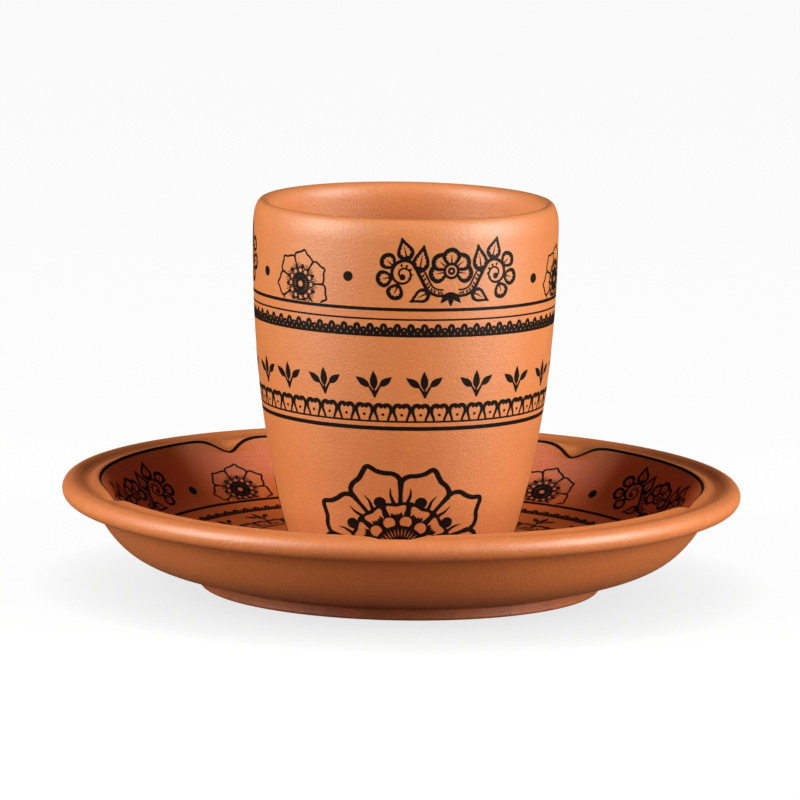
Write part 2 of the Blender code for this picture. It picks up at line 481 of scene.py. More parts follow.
def laid_print(name, body, wall, jobs, lean=0.0):
    """One printed piece: each job is a cut print and the places where it lies on the wall.

    A print that leans hangs lower towards the back.
    """
    turns, reaches, faces = [], [], []
    for cut, places in jobs:
        count = len(cut.points)
        first = sum(map(len, turns))
        for place in places:
            turns.append(place.turn + cut.points[:, 0] / place.radius)
            reaches.append(place.reach + cut.points[:, 1])
        for copy in range(len(places)):
            number = np.arange(count) + first + copy * count
            onward = first + (copy + 1) % len(places) * count
            for right, left in cut.joins.items():
                number[right] = onward + left
            faces.append(number[cut.triangles])
    turns, reaches = np.concatenate(turns), np.concatenate(reaches)
    reaches = reaches - lean * (1 - np.cos(turns - BAND_LEAN_TURN))
    used, faces = np.unique(np.concatenate(faces), return_inverse=True)
    faces = faces.reshape(-1, 3)
    top = on_wall(wall, turns[used], reaches[used], INK_LIFT)
    under = on_wall(wall, turns[used], reaches[used], INK_LIFT - INK_BODY)
    sides = np.concatenate([faces[:, [0, 1]], faces[:, [1, 2]], faces[:, [2, 0]]])
    known = {(a, b) for a, b in sides.tolist()}
    rim = np.array([(a, b) for a, b in sides.tolist() if (b, a) not in known])
    count = len(used)
    skirt = np.stack([rim[:, 0], rim[:, 0] + count, rim[:, 1] + count, rim[:, 1]], 1)
    piece = new_piece(name, np.concatenate([top, under]),
                      faces.tolist() + (faces[:, ::-1] + count).tolist() + skirt.tolist())
    piece.data.set_sharp_from_angle(angle=SOFT_FOLD)
    piece.data.materials.append(BLACK_PRINT)
    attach(piece, body)
    return piece


def rounds(count, first, reach, radius):
    """Places all round the axis."""
    return [Place(first + k * FULL_TURN / count, reach, radius) for k in range(count)]


def border(cell, count, reach, radius, first=0.0):
    """A border of cells that join all round; the drawn cell gets the pitch it has to fill."""
    pitch = FULL_TURN * radius / count
    return cut_print(cell(pitch), pitch), rounds(count, first, reach, radius)


def stretched(cut, wide, tall):
    """A cut print drawn wider or taller."""
    return cut._replace(points=cut.points * (wide, tall))


def ring(width, reach, radius):
    """A plain printed line round the clay."""
    def cell(pitch):
        return [ink(block(-pitch, -width / 2, 2 * pitch, width / 2))]
    return border(cell, RING_CELLS, reach, radius)


# Lace: a loop or eye has the height of its middle, its half width and its half height.
LACE_FOOT_TALL = 1.15
LACE_TALL_LOOP = (1.6, 0.82, 1.18)
LACE_SHORT_LOOP = (1.2, 0.74, 0.82)
LACE_TALL_EYE = (1.72, 0.12, 0.4)
LACE_SHORT_EYE = (1.36, 0.14, 0.18)
LACE_SLIT_FOOT = 0.46
LACE_SLIT_TOP = 0.98
LACE_SLIT_WIDTH = 0.2


def lace_cell(pitch):
    """A solid foot under alternating tall and short loops."""
    tall = [(k + 0.5) * pitch for k in (-1, 0, 1)]
    short = [k * pitch for k in (-1, 0, 1, 2)]
    gaps = [(k + 0.5) * pitch / 2 for k in range(-1, 4)]
    shapes = [ink(block(-pitch, 0, 2 * pitch, LACE_FOOT_TALL))]
    shapes += [ink(blob(x, *LACE_TALL_LOOP)) for x in tall]
    shapes += [ink(blob(x, *LACE_SHORT_LOOP)) for x in short]
    shapes += [clay(blob(x, *LACE_TALL_EYE)) for x in tall]
    shapes += [clay(blob(x, *LACE_SHORT_EYE)) for x in short]
    shapes += [clay(leaf((x, LACE_SLIT_FOOT), (x, LACE_SLIT_TOP), LACE_SLIT_WIDTH)) for x in gaps]
    return shapes


# Arcade: points of half an arch with the line's width there, then its crown, shoulders and dot.
ARCH_HALF = ((0.98, -0.05, 0.44), (1.18, 0.8, 0.48), (1.54, 1.75, 0.58), (1.64, 2.55, 0.72),
             (1.36, 3.2, 0.84), (0.85, 3.44, 0.88), (0.4, 3.38, 0.8))
ARCH_CROWN = (0, 3.26, 0.74)
ARCH_SHOULDERS = (-0.42, 0.42)
ARCH_SHOULDER = (2.94, 0.3, 0.26)
ARCH_DOT = (1.42, 0.3)


def arcade_cell(pitch):
    """Tooth-shaped arches on thin legs, a dot in each."""
    arch = drawn([*mirrored(ARCH_HALF), ARCH_CROWN, *ARCH_HALF[::-1]])
    shapes = []
    for x in ((k + 0.5) * pitch for k in (-1, 0, 1)):
        shapes.append(ink(stroke(arch + (x, 0, 0))))
        shapes += [ink(blob(x + aside, *ARCH_SHOULDER)) for aside in ARCH_SHOULDERS]
        shapes.append(ink(blob(x, *ARCH_DOT)))
    return shapes


# Sprig: foot, tip and width of each leaf; points of each stalk with its width there.
SPRIG_LEAVES = (((-0.12, 1.7), (-0.28, 5.65), 1.55), ((-1.05, 2.25), (-3.9, 4.3), 1.45),
                ((1.0, 2.45), (3.5, 4.4), 1.45))
SPRIG_BELLY = 0.8
SPRIG_STALKS = (((0.02, 0, 0.14), (-0.04, 0.9, 0.42), (-0.13, 2.1, 0.28)),
                ((0.0, 0.1, 0.24), (-0.42, 1.2, 0.5), (-1.3, 2.5, 0.36)),
                ((0.04, 0.1, 0.24), (0.4, 1.25, 0.5), (1.25, 2.75, 0.36)))


def leaf_sprig(size=1.0):
    """Three leaves on a forked stalk."""
    shapes = [ink(leaf(foot, tip, width, SPRIG_BELLY)) for foot, tip, width in SPRIG_LEAVES]
    shapes += [ink(stroke(drawn(stalk))) for stalk in SPRIG_STALKS]
    return cut_print([(is_ink, outline * size) for is_ink, outline in shapes])


def petal_line(rule, radius, spacing, middle, side):
    """A pointed, gently waved petal from one notch to the next, drawn to the right or to the left."""
    return drawn([polar(middle + side * share * spacing, far * radius) for share, far in rule])


def rib(rule, seam, radius, line):
    """The line between two petals; its rule gives distances and shares of the line's width."""
    return stroke(drawn([(*polar(seam, far * radius), share * line) for far, share in rule]))


def hatching(count, first, start, end, width):
    """Fine pale hatches round a dark eye, the first one some share of a step from straight up."""
    turns = [(k + first) * FULL_TURN / count for k in range(count)]
    return [clay(leaf(polar(turn, start), polar(turn, end), width)) for turn in turns]


def level_foot(radius, foot):
    """Bare clay below the height where a flower is cut off."""
    return clay(block(-2 * radius, -2 * radius, 2 * radius, foot))


# Base flower: a line in millimetres, petals by shares of their spacing, the rest by shares of its radius.
FLOWER_LINE = 0.98
FLOWER_SEAMS = np.radians([0, 38.2, 74, 114, 156, 200, 241, 280.5, 321.5, 360])
FLOWER_REACHES = (0.98, 1.032, 1.0, 1.0, 1.0, 1.0, 1.0, 0.976, 1.012)
FLOWER_PETAL = ((-0.5, 0.775), (-0.455, 0.832), (-0.36, 0.872), (-0.24, 0.886), (-0.115, 0.925),
                (-0.03, 0.988), (0.03, 0.985), (0.11, 0.94), (0.205, 0.897), (0.34, 0.878), (0.45, 0.84),
                (0.5, 0.785))
FLOWER_RIB = ((0.46, 1.0), (0.64, 0.8), (0.785, 1.2))
FLOWER_BALL_AT = 0.585
FLOWER_BALL_SIZE = 0.062
FLOWER_BALL_ASIDE = 0.04
FLOWER_STALK = (0.44, 0.57)
FLOWER_SPIKE = ((0.345, 0.47, 0.055), (0.3, 0.57, 0.036), (0.27, 0.64, 0.024), (0.29, 0.72, 0.006))
FLOWER_HEART = 0.44
FLOWER_EYE = 0.285
FLOWER_HATCH = (0.15, 0.262, 0.013)
FLOWER_PIP = 0.05
COLLAR_PETALS = 12
COLLAR_TURN = math.radians(-5)
COLLAR_EDGE = 0.042
COLLAR_PETAL = ((-0.29, 0.39), (-0.37, 0.452), (-0.4, 0.502), (-0.33, 0.526), (-0.17, 0.517), (0.0, 0.506),
                (0.17, 0.517), (0.33, 0.526), (0.4, 0.502), (0.37, 0.452), (0.29, 0.39), (0.0, 0.395))
COLLAR_WAIST = 0.45
COLLAR_BEAD_AT = 0.332
COLLAR_BEAD_SIZE = 0.064
TEETH = ((-0.24, 0.44), (-0.1, 0.425), (0.07, 0.43), (0.22, 0.445))
TOOTH_FOOT = 0.37
TOOTH_LEAN = 0.9
TOOTH_WIDTH = 0.035


def flower(radius, line, foot):
    """A many-petalled lotus with a dark collar, its petals drawn one by one, cut off level below its heart.
    """
    step = FULL_TURN / COLLAR_PETALS
    shapes = []
    for seam, onward, reach in zip(FLOWER_SEAMS, FLOWER_SEAMS[1:], FLOWER_REACHES):
        spacing = onward - seam
        middle = (seam + onward) / 2
        side = 1 if middle < math.pi else -1
        shapes.append(ink(stroke(petal_line(FLOWER_PETAL, reach * radius, spacing, middle, side), line)))
        shapes.append(ink(rib(FLOWER_RIB, seam, radius, line)))
        aside = middle + side * FLOWER_BALL_ASIDE * spacing
        shapes.append(ink(blob(*polar(aside, FLOWER_BALL_AT * radius), FLOWER_BALL_SIZE * radius)))
        shapes.append(ink(stroke([polar(aside, far * radius) for far in FLOWER_STALK], line)))
        for hand in (-1, 1):
            spike = [(*polar(middle + hand * share * spacing, far * radius), width * radius)
                     for share, far, width in FLOWER_SPIKE]
            shapes.append(ink(stroke(drawn(spike))))
    collar = [COLLAR_TURN + k * step for k in range(COLLAR_PETALS)]
    shapes += [ink(collar_petal(radius, step, middle, COLLAR_EDGE)) for middle in collar]
    shapes.append(ink(blob(0, 0, FLOWER_HEART * radius)))
    for middle in collar:
        shapes.append(clay(collar_petal(radius, step, middle, 0.0)))
        shapes += [ink(tooth) for tooth in petal_teeth(radius, step, middle)]
    for middle in collar:
        bead = polar(middle + step / 2, COLLAR_BEAD_AT * radius)
        shapes.append(clay(blob(*bead, COLLAR_BEAD_SIZE * radius)))
    shapes.append(ink(blob(0, 0, FLOWER_EYE * radius)))
    shapes += hatching(3 * COLLAR_PETALS, 0.5, *(share * radius for share in FLOWER_HATCH))
    shapes.append(clay(blob(0, 0, FLOWER_PIP * radius)))
    shapes.append(level_foot(radius, foot))
    return cut_print(shapes)


def collar_petal(radius, step, middle, grow):
    """A small two-lobed petal of the collar; grow widens it into its own dark edge."""
    points = []
    for share, far in COLLAR_PETAL:
        aside = grow / far / step * math.copysign(1, share) if share else 0
        out = grow if far > COLLAR_WAIST else -grow
        points.append(polar(middle + step * (share + aside), radius * (far + out)))
    return drawn(points, closed=True)


def petal_teeth(radius, step, middle):
    """Short dark teeth that rise into a collar petal from its foot."""
    return [leaf(polar(middle + share * step, TOOTH_FOOT * radius),
                 polar(middle + share * step * TOOTH_LEAN, far * radius), TOOTH_WIDTH * radius)
            for share, far in TEETH]


# Rosette: petals by shares of their spacing; distances and sizes are shares of its radius.
ROSETTE_RADIUS = 7.1
ROSETTE_CUT = 3.45
ROSETTE_TURN = math.radians(35)
ROSETTE_PETALS = 7
ROSETTE_PETAL = ((-0.5, 0.77), (-0.468, 0.84), (-0.39, 0.888), (-0.26, 0.906), (-0.12, 0.938), (-0.015, 1.0),
                 (0.05, 0.966), (0.14, 0.9), (0.26, 0.876), (0.39, 0.846), (0.468, 0.81), (0.5, 0.77))
ROSETTE_RIB = ((0.42, 0.8), (0.6, 0.9), (0.79, 1.2))
ROSETTE_SEED_AT = 0.5
ROSETTE_SEED_WIDE = 0.064
ROSETTE_SEED_TALL = 0.078
ROSETTE_HAIRS = ((0.2, 0.6), (0.32, 0.63), (0.42, 0.58))
ROSETTE_HAIR_FOOT = 0.4
ROSETTE_BEADS = 12
ROSETTE_BEAD_AT = 0.39
ROSETTE_BEAD_SIZE = 0.098
ROSETTE_BEAD_HOLE = 0.06
ROSETTE_EYE = 0.335
ROSETTE_HATCHES = 26
ROSETTE_HATCH_FROM = 0.16
ROSETTE_HATCH_TO = 0.29
ROSETTE_PUPIL = 0.14
ROSETTE_PIP = 0.085
# In millimetres: a hair at its foot and at its tip, and a hatch.
HAIR_FOOT_WIDTH = 0.25
HAIR_TIP_WIDTH = 0.08
HATCH_WIDTH = 0.065


def rosette(line):
    """A thin-lined flower with a beaded eye, cut off level by the ring below it."""
    radius = ROSETTE_RADIUS
    spacing = FULL_TURN / ROSETTE_PETALS
    shapes = []
    for k in range(ROSETTE_PETALS):
        seam = k * spacing + ROSETTE_TURN
        middle = seam + spacing / 2
        shapes.append(ink(stroke(petal_line(ROSETTE_PETAL, radius, spacing, middle, 1), line)))
        shapes.append(ink(rib(ROSETTE_RIB, seam, radius, line)))
        shapes.append(ink(blob(*polar(middle, ROSETTE_SEED_AT * radius), ROSETTE_SEED_WIDE * radius,
                               ROSETTE_SEED_TALL * radius, -middle)))
        for hand in (-1, 1):
            for share, far in ROSETTE_HAIRS:
                turn = middle + hand * share * spacing
                hair = [(*polar(turn, ROSETTE_HAIR_FOOT * radius), HAIR_FOOT_WIDTH),
                        (*polar(turn, far * radius), HAIR_TIP_WIDTH)]
                shapes.append(ink(stroke(drawn(hair))))
    beads = [polar(k * FULL_TURN / ROSETTE_BEADS, ROSETTE_BEAD_AT * radius) for k in range(ROSETTE_BEADS)]
    shapes += [ink(blob(*bead, ROSETTE_BEAD_SIZE * radius)) for bead in beads]
    shapes += [clay(blob(*bead, ROSETTE_BEAD_HOLE * radius)) for bead in beads]
    shapes.append(ink(blob(0, 0, ROSETTE_EYE * radius)))
    shapes += hatching(ROSETTE_HATCHES, 0, ROSETTE_HATCH_FROM * radius, ROSETTE_HATCH_TO * radius,
                       HATCH_WIDTH)
    shapes.append(ink(blob(0, 0, ROSETTE_PUPIL * radius)))
    shapes.append(clay(blob(0, 0, ROSETTE_PIP * radius)))
    shapes.append(level_foot(radius, -ROSETTE_CUT))
    return cut_print(shapes)


# Heavy leaves and petals of the scroll: shares of the length and of the width along one side.
LEAF_RULE = ((0, 0), (0.06, 0.24), (0.24, 0.47), (0.46, 0.46), (0.68, 0.28), (0.85, 0.13), (1, 0))
PETAL_RULE = ((0, 0), (0.12, 0.24), (0.38, 0.46), (0.66, 0.5), (0.9, 0.3), (1, 0))
LEAF_HEART = 0.44
LEAF_RIB = ((0.1, 0.3), (0.35, 0.26), (0.62, 0.05))
RAGGED_DEPTH = 0.1
BROAD_HOLLOW = 0.58
BROAD_TEETH = 11
CURL_HOLLOW = 0.56
CURL_TEETH = 9


def heavy_leaf(base, tip, width, rule, hollow, teeth):
    """A leaf or petal with a broad dark edge that is ragged on its inner side."""
    base, tip = np.asarray(base), np.asarray(tip)
    shape = np.array(rule)
    edge = np.concatenate([shape, shape[::-1][1:-1] * (1, -1)]) * (1, width)
    outline = drawn(between(base, tip, edge), closed=True)
    heart = base * (1 - LEAF_HEART) + tip * LEAF_HEART
    inner = (outline - heart) * hollow + heart
    wave = np.cos(np.arange(len(inner)) * FULL_TURN * teeth / len(inner))[:, None]
    inner = (inner - heart) * (1 + RAGGED_DEPTH * wave) + heart
    vein = drawn([(*(base * (1 - u) + tip * u), thick) for u, thick in LEAF_RIB])
    return [ink(outline), clay(inner), ink(stroke(vein))]


# Scroll: the right half of it, which is mirrored.
SCROLL_VINE = ((0.0, -4.3), (2.2, -4.9), (4.7, -3.9), (6.4, -1.0), (7.8, 1.5))
VINE_THIN = 0.38
VINE_SWELL = 0.34
VINE_SWELL_FROM = 0.1
VINE_SWELL_SPAN = 1.15
VINE_END = 0.62
SECOND_LINE_ASIDE = 1.25
SECOND_LINE_FROM = 0.04
SECOND_LINE_TO = 0.3
SECOND_LINE_WIDTH = 0.36
RUNGS = np.arange(0.06, 0.3, 0.03)
RUNG_FOOT = 0.3
RUNG_RISE = 0.72
RUNG_LEAN = 0.45
RUNG_WIDTH = 0.4
VINE_LEAVES = (((6.7, -0.2), (5.7, 5.6), 3.6), ((9.0, 2.2), (10.3, 7.0), 3.6),
               ((4.4, -4.0), (8.6, -6.2), 3.0))
CURL_EYE = np.array([9.9, -0.5])
CURL_OUTER = 2.9
CURL_INNER = 0.6
CURL_START = math.radians(104)
CURL_TURNS = -1.5
CURL_PETAL_DEGREES = (-66, 40, -14)
CURL_PETAL_FOOT = 2.2
CURL_PETAL_LONG = 3.5
CURL_PETAL_WIDE = 3.5
DROPS = 5
DROP_FIRST_DEGREES = 215
DROP_STEP_DEGREES = 34
DROP_FOOT = 1.15
DROP_TIP = 1.95
DROP_CREEP = 0.06
DROP_WIDTH = 0.5
DROP_BELLY = 1.2
BLOSSOM_AT = np.array([0.0, 0.2])
BLOSSOM_PETAL_DEGREES = (100, -100, 52, -52, 0)
BLOSSOM_PETAL_FOOT = 0.8
BLOSSOM_PETAL_TIP = 4.8
BLOSSOM_PETAL_WIDE = 3.9
BLOSSOM_EYE_INK = (1.7, 0.8)
BLOSSOM_EYE_CLAY = (1.15, 0.3)
SCROLL_FOOT = (0, -4.1)
SCROLL_FOOT_TIPS = ((-2.2, -6.4), (0, -7.1), (2.2, -6.4))
SCROLL_FOOT_WIDTH = 1.25


def scroll():
    """Two double vines that leave a middle blossom to left and right and curl up at their ends."""
    curl = spiral(*CURL_EYE, CURL_OUTER, CURL_INNER, CURL_START, CURL_TURNS)
    vine = drawn([*SCROLL_VINE, *curl])
    count = len(vine)
    share = np.linspace(0, 1, count)[:, None]
    swell = np.sin(math.pi * np.clip(share * VINE_SWELL_SPAN + VINE_SWELL_FROM, 0, 1))
    thick = VINE_THIN + VINE_SWELL * swell
    half = [ink(stroke(np.concatenate([vine, thick], 1))), ink(blob(*vine[-1], VINE_END))]
    way = unit(np.gradient(vine, axis=0))
    side = np.stack([-way[:, 1], way[:, 0]], 1)
    second = (vine + SECOND_LINE_ASIDE * side)[round(SECOND_LINE_FROM * count):round(SECOND_LINE_TO * count)]
    half.append(ink(stroke(second, SECOND_LINE_WIDTH)))
    for k in (round(rung * count) for rung in RUNGS):
        start = vine[k] + RUNG_FOOT * side[k]
        half.append(ink(leaf(start, start + RUNG_RISE * side[k] + RUNG_LEAN * way[k], RUNG_WIDTH)))
    for base, tip, width in VINE_LEAVES:
        half = heavy_leaf(base, tip, width, LEAF_RULE, BROAD_HOLLOW, BROAD_TEETH) + half
    for angle in map(math.radians, CURL_PETAL_DEGREES):
        way_out = np.array([math.cos(angle), math.sin(angle)])
        start = CURL_EYE + way_out * CURL_PETAL_FOOT
        half = heavy_leaf(start, start + way_out * CURL_PETAL_LONG, CURL_PETAL_WIDE, PETAL_RULE,
                          CURL_HOLLOW, CURL_TEETH) + half
    for drop in range(DROPS):
        turn = math.radians(DROP_FIRST_DEGREES - DROP_STEP_DEGREES * drop)
        way_in = np.array([math.cos(turn), math.sin(turn)])
        foot, tip = (CURL_EYE + way_in * (far + DROP_CREEP * drop) for far in (DROP_FOOT, DROP_TIP))
        half.append(ink(leaf(foot, tip, DROP_WIDTH, DROP_BELLY)))
    shapes = []
    for is_ink, outline in half:
        shapes += [(is_ink, outline), (is_ink, mirrored(outline)[::-1])]
    for angle in map(math.radians, BLOSSOM_PETAL_DEGREES):
        way_up = polar(angle, 1.0)
        foot, tip = (BLOSSOM_AT + way_up * far for far in (BLOSSOM_PETAL_FOOT, BLOSSOM_PETAL_TIP))
        shapes += heavy_leaf(foot, tip, BLOSSOM_PETAL_WIDE, PETAL_RULE, BROAD_HOLLOW, BROAD_TEETH)
    for dark, bare in zip(BLOSSOM_EYE_INK, BLOSSOM_EYE_CLAY):
        shapes += [ink(blob(*BLOSSOM_AT, dark)), clay(blob(*BLOSSOM_AT, bare))]
    shapes += [ink(leaf(SCROLL_FOOT, tip, SCROLL_FOOT_WIDTH)) for tip in SCROLL_FOOT_TIPS]
    return cut_print(shapes)


DOT_RADIUS = 1.02


def dot():
    """A plain round dot."""
    return cut_print([ink(blob(0, 0, DOT_RADIUS))])


def from_cusp(turn):
    """The angle between a turn and the nearest cusp."""
    apart = np.asarray(turn)[..., None] - CUSP_TURNS
    return np.abs((apart + math.pi) % FULL_TURN - math.pi).min(-1)


def scallop_dip(turn):
    """How far the rim is pressed down at a turn, from 0 on a lobe to 1 in a cusp, its tip eased."""
    share = np.clip(from_cusp(turn) / CUSP_HALF, 0, 1)
    soft = (np.hypot(share, CUSP_TIP) - CUSP_TIP) / (math.hypot(1, CUSP_TIP) - CUSP_TIP)
    return (1 - soft) ** CUSP_FALL


def scallop_line(wall):
    """The printed line along the ridge, which comes down the wall in each cusp."""
    peak = reach_at_radius(wall, SCALLOP_PEAK_AT)
    fall = peak - reach_at_radius(wall, SCALLOP_CUSP_AT)
    round_way = FULL_TURN * SCALLOP_PEAK_AT
    x = np.arange(-FILL_STEP, round_way + FILL_STEP, LINE_STEP)
    dip = scallop_dip(x / SCALLOP_PEAK_AT)
    width = SCALLOP_LOBE_WIDTH + (SCALLOP_CUSP_WIDTH - SCALLOP_LOBE_WIDTH) * np.cbrt(dip)
    line = np.stack([x, -fall * dip ** SCALLOP_FALL, width], 1)
    return cut_print([ink(stroke(line))], round_way, SCALLOP_FILL), rounds(1, 0.0, peak, SCALLOP_PEAK_AT)


def saucer_turns():
    """Turns round the saucer: even ones, and closer ones in the cusps."""
    even = np.arange(SAUCER_TURNS) * FULL_TURN / SAUCER_TURNS
    even = even[from_cusp(even) > (CUSP_STEPS + 1) * CUSP_STEP]
    close = CUSP_TURNS[:, None] + CUSP_STEP * np.arange(-CUSP_STEPS, CUSP_STEPS + 1)
    return np.sort(np.concatenate([even, close.ravel() % FULL_TURN]))


def eased_step(share):
    share = np.clip(share, 0, 1)
    return share * share * (3 - 2 * share)


def lobe_sink(turn):
    """How far the ridge of the lobe at a turn lies below the drawn one; it changes in the cusps."""
    stops = np.stack([CUSP_TURNS - CUSP_HALF, CUSP_TURNS + CUSP_HALF], 1).ravel()
    sinks = np.stack([np.roll(LOBE_SINKS, 1), LOBE_SINKS], 1).ravel()
    return np.interp(turn, stops, sinks, period=FULL_TURN)


def hanging_rim(radius, turn):
    """How far the dish hangs from the fired shape: nothing over its foot, most at the front left."""
    side = ((1 + np.cos(turn - SAG_TURN)) / 2) ** SAG_FOCUS
    return SAG_DEPTH * side * eased_step((radius - SAG_FROM) / (SAG_TO - SAG_FROM))


def pressed_rim(wall):
    """How far the inside of the rim lies below its outline: each cusp is pressed down to a ramp."""
    ends = (RAMP_FOOT_AT, RAMP_TOP_AT)
    heights = np.interp(ends, wall.radius, wall.height)

    def sink(radius, turn):
        held = np.clip(radius, *ends)
        above = np.interp(held, wall.radius, wall.height) - np.interp(held, ends, heights)
        near = eased_step(1 - np.abs(radius - RIDGE_AT) / LOBE_REACH)
        return np.maximum(above, 0) * scallop_dip(turn) + near * lobe_sink(turn)

    return sink


def finer(section, first, last, step):
    """The outline with more points between two radii of its rising inside."""
    line = [section[:1]]
    for number, (a, b) in enumerate(zip(section, section[1:])):
        rising = number < np.argmax(section[:, 1]) and first < b[0] and a[0] < last
        count = math.ceil(np.linalg.norm(b - a) / step) if rising else 1
        u = (np.arange(1, count + 1) / count)[:, None]
        line.append(a + (b - a) * u)
    return np.concatenate(line)


FLOAT = "NodeSocketFloat"
COLOUR = "NodeSocketColor"
WHITE = (1, 1, 1, 1)

# A colour mix holds its share, its two colours and its result at these sockets.
MIX_SHARE = 0
MIX_FIRST = 6
MIX_SECOND = 7
MIX_RESULT = 2

# Finishes: scales count patches along a metre, and spans are stretches of a noise about its middle.
WIDE_SPAN = (0.3, 0.7)
CLOSE_SPAN = (0.35, 0.65)
CUP_GRAIN = 2000.0
SAUCER_GRAIN = 1900.0
PRINT_GRAIN = 2200.0
CLAY_LUMPS = 620.0
LUMP_SHARE = 0.2
SPECK_SCALE = 0.55
DARK_SPECK_SPAN = (0.62, 0.74)
DARK_SPECK_SHARE = 0.16
DARK_SPECK = (0.2, 0.045, 0.016, 1)
PALE_SPECK_SPAN = (0.36, 0.26)
PALE_SPECK_SHARE = 0.28
PALE_SPECK = (0.82, 0.36, 0.17, 1)
KILN_DRIFT = 30.0
PRINT_DRIFT = 120.0
CLOUD_SCALE = 7.0
CLOUD_SHARE = 0.35
TURNING_RINGS = 900.0
TURNING_PATCHES = 55.0
TURNING_DEPTHS = (0.25, 1.0)
TURNING_SHARE = 0.4
WEAR_PATCHES = 240.0
WEAR_DEPTHS = (0.35, 1.0)
CUP_WEAR = 0.35
SAUCER_WEAR = 0.4
RUBBED_CLAY = (0.7, 0.25, 0.1, 1)
RUBBED_SMOOTHER = -0.08
# Hollows and the foot take this colour: dirt, with painted shade in creases and painted contact shade at the
# foot.
DIRT_AND_SHADE_CLAY = (0.36, 0.085, 0.027, 1)
CLAY_ROUGH = (0.46, 0.6)
CLAY_POLISH = (0.15, 0.5)
PRINT_ROUGH = (0.5, 0.7)
THIN_PRINT_SHARE = 0.3
THIN_PRINT = (0.05, 0.02, 0.01, 1)


def put(tree, kind, inputs=None, **settings):
    """A shader node with its settings; an input is a value or the socket that feeds it."""
    made = tree.nodes.new("ShaderNode" + kind)
    for key, value in settings.items():
        setattr(made, key, value)
    for key, value in (inputs or {}).items():
        if isinstance(value, bpy.types.NodeSocket):
            tree.links.new(value, made.inputs[key])
        else:
            made.inputs[key].default_value = value
    return made


def math_of(tree, operation, first, second, clamp=False):
    made = put(tree, "Math", {0: first, 1: second}, operation=operation, use_clamp=clamp)
    return made.outputs[0]


def plus(tree, first, second, clamp=False):
    return math_of(tree, "ADD", first, second, clamp)


def times(tree, first, second, clamp=False):
    return math_of(tree, "MULTIPLY", first, second, clamp)


def blend_of(tree, share, first, second, how="MIX"):
    made = put(tree, "Mix", {MIX_SHARE: share, MIX_FIRST: first, MIX_SECOND: second}, data_type="RGBA",
               blend_type=how)
    return made.outputs[MIX_RESULT]


def spread_of(tree, value, span, to=(0.0, 1.0)):
    """A value drawn out from one span to another and held there."""
    made = put(tree, "MapRange", {"Value": value, "From Min": span[0], "From Max": span[1],
                                  "To Min": to[0], "To Max": to[1]})
    return made.outputs[0]


def noise_of(tree, place, scale, detail, roughness=0.55):
    made = put(tree, "TexNoise", {"Vector": place, "Scale": scale, "Detail": detail, "Roughness": roughness})
    return made.outputs["Fac"]


def place_on(tree):
    """Where a point lies on its own piece."""
    return put(tree, "TexCoord").outputs["Object"]


def mark_on(tree, name):
    """A mark that the clay carries at each of its points."""
    return put(tree, "Attribute", attribute_name=name).outputs["Fac"]


def effect(name, inputs, outputs):
    """An empty node group with named sockets; inputs give each socket's kind and first value."""
    tree = bpy.data.node_groups.new(name, "ShaderNodeTree")
    for label, (kind, value) in inputs.items():
        tree.interface.new_socket(label, in_out="INPUT", socket_type=kind).default_value = value
    for label, kind in outputs.items():
        tree.interface.new_socket(label, in_out="OUTPUT", socket_type=kind)
    return tree, tree.nodes.new("NodeGroupInput").outputs, tree.nodes.new("NodeGroupOutput").inputs


def clay_grain():
    """The fine tooth of unglazed clay: a height, and masks of dark and pale specks."""
    tree, given, made = effect("clay_grain", {"Grain": (FLOAT, CUP_GRAIN), "Lumps": (FLOAT, CLAY_LUMPS)},
                               {"Height": FLOAT, "Dark specks": FLOAT, "Pale specks": FLOAT})
    place = place_on(tree)
    fine = noise_of(tree, place, given["Grain"], detail=3.0, roughness=0.6)
    lumps = noise_of(tree, place, given["Lumps"], detail=2.0)
    height = plus(tree, times(tree, fine, 1 - LUMP_SHARE), times(tree, lumps, LUMP_SHARE))
    coarse = noise_of(tree, place, times(tree, given["Grain"], SPECK_SCALE), detail=2.0, roughness=0.7)
    tree.links.new(height, made["Height"])
    tree.links.new(spread_of(tree, coarse, DARK_SPECK_SPAN), made["Dark specks"])
    tree.links.new(spread_of(tree, coarse, PALE_SPECK_SPAN), made["Pale specks"])
    return tree


def firing_tone():
    """The slow drift of colour that the kiln leaves."""
    tree, given, made = effect(
        "firing_tone", {"Warm": (COLOUR, WHITE), "Deep": (COLOUR, WHITE), "Size": (FLOAT, KILN_DRIFT)},
        {"Color": COLOUR})
    place = place_on(tree)
    drift = spread_of(tree, noise_of(tree, place, given["Size"], detail=3.0), WIDE_SPAN)
    cloud_size = times(tree, given["Size"], CLOUD_SCALE)
    cloud = spread_of(tree, noise_of(tree, place, cloud_size, detail=2.0), WIDE_SPAN)
    share = plus(tree, times(tree, drift, 1 - CLOUD_SHARE), times(tree, cloud, CLOUD_SHARE))
    tree.links.new(blend_of(tree, share, given["Warm"], given["Deep"]), made["Color"])
    return tree


def turning_marks():
    """Faint level rings that the turning tool leaves, uneven in depth."""
    tree, given, made = effect("turning_marks", {"Rings": (FLOAT, TURNING_RINGS)}, {"Height": FLOAT})
    place = place_on(tree)
    apart = put(tree, "SeparateXYZ", {0: place}).outputs
    squares = [math_of(tree, "POWER", apart[axis], 2.0) for axis in "XY"]
    from_axis = math_of(tree, "SQRT", plus(tree, *squares), 0.0)
    outline = put(tree, "CombineXYZ", {"X": from_axis, "Z": apart["Z"]}).outputs[0]
    marks = noise_of(tree, outline, given["Rings"], detail=2.0, roughness=0.6)
    depth = spread_of(tree, noise_of(tree, place, TURNING_PATCHES, detail=1.0), CLOSE_SPAN, TURNING_DEPTHS)
    tree.links.new(times(tree, marks, depth), made["Height"])
    return tree


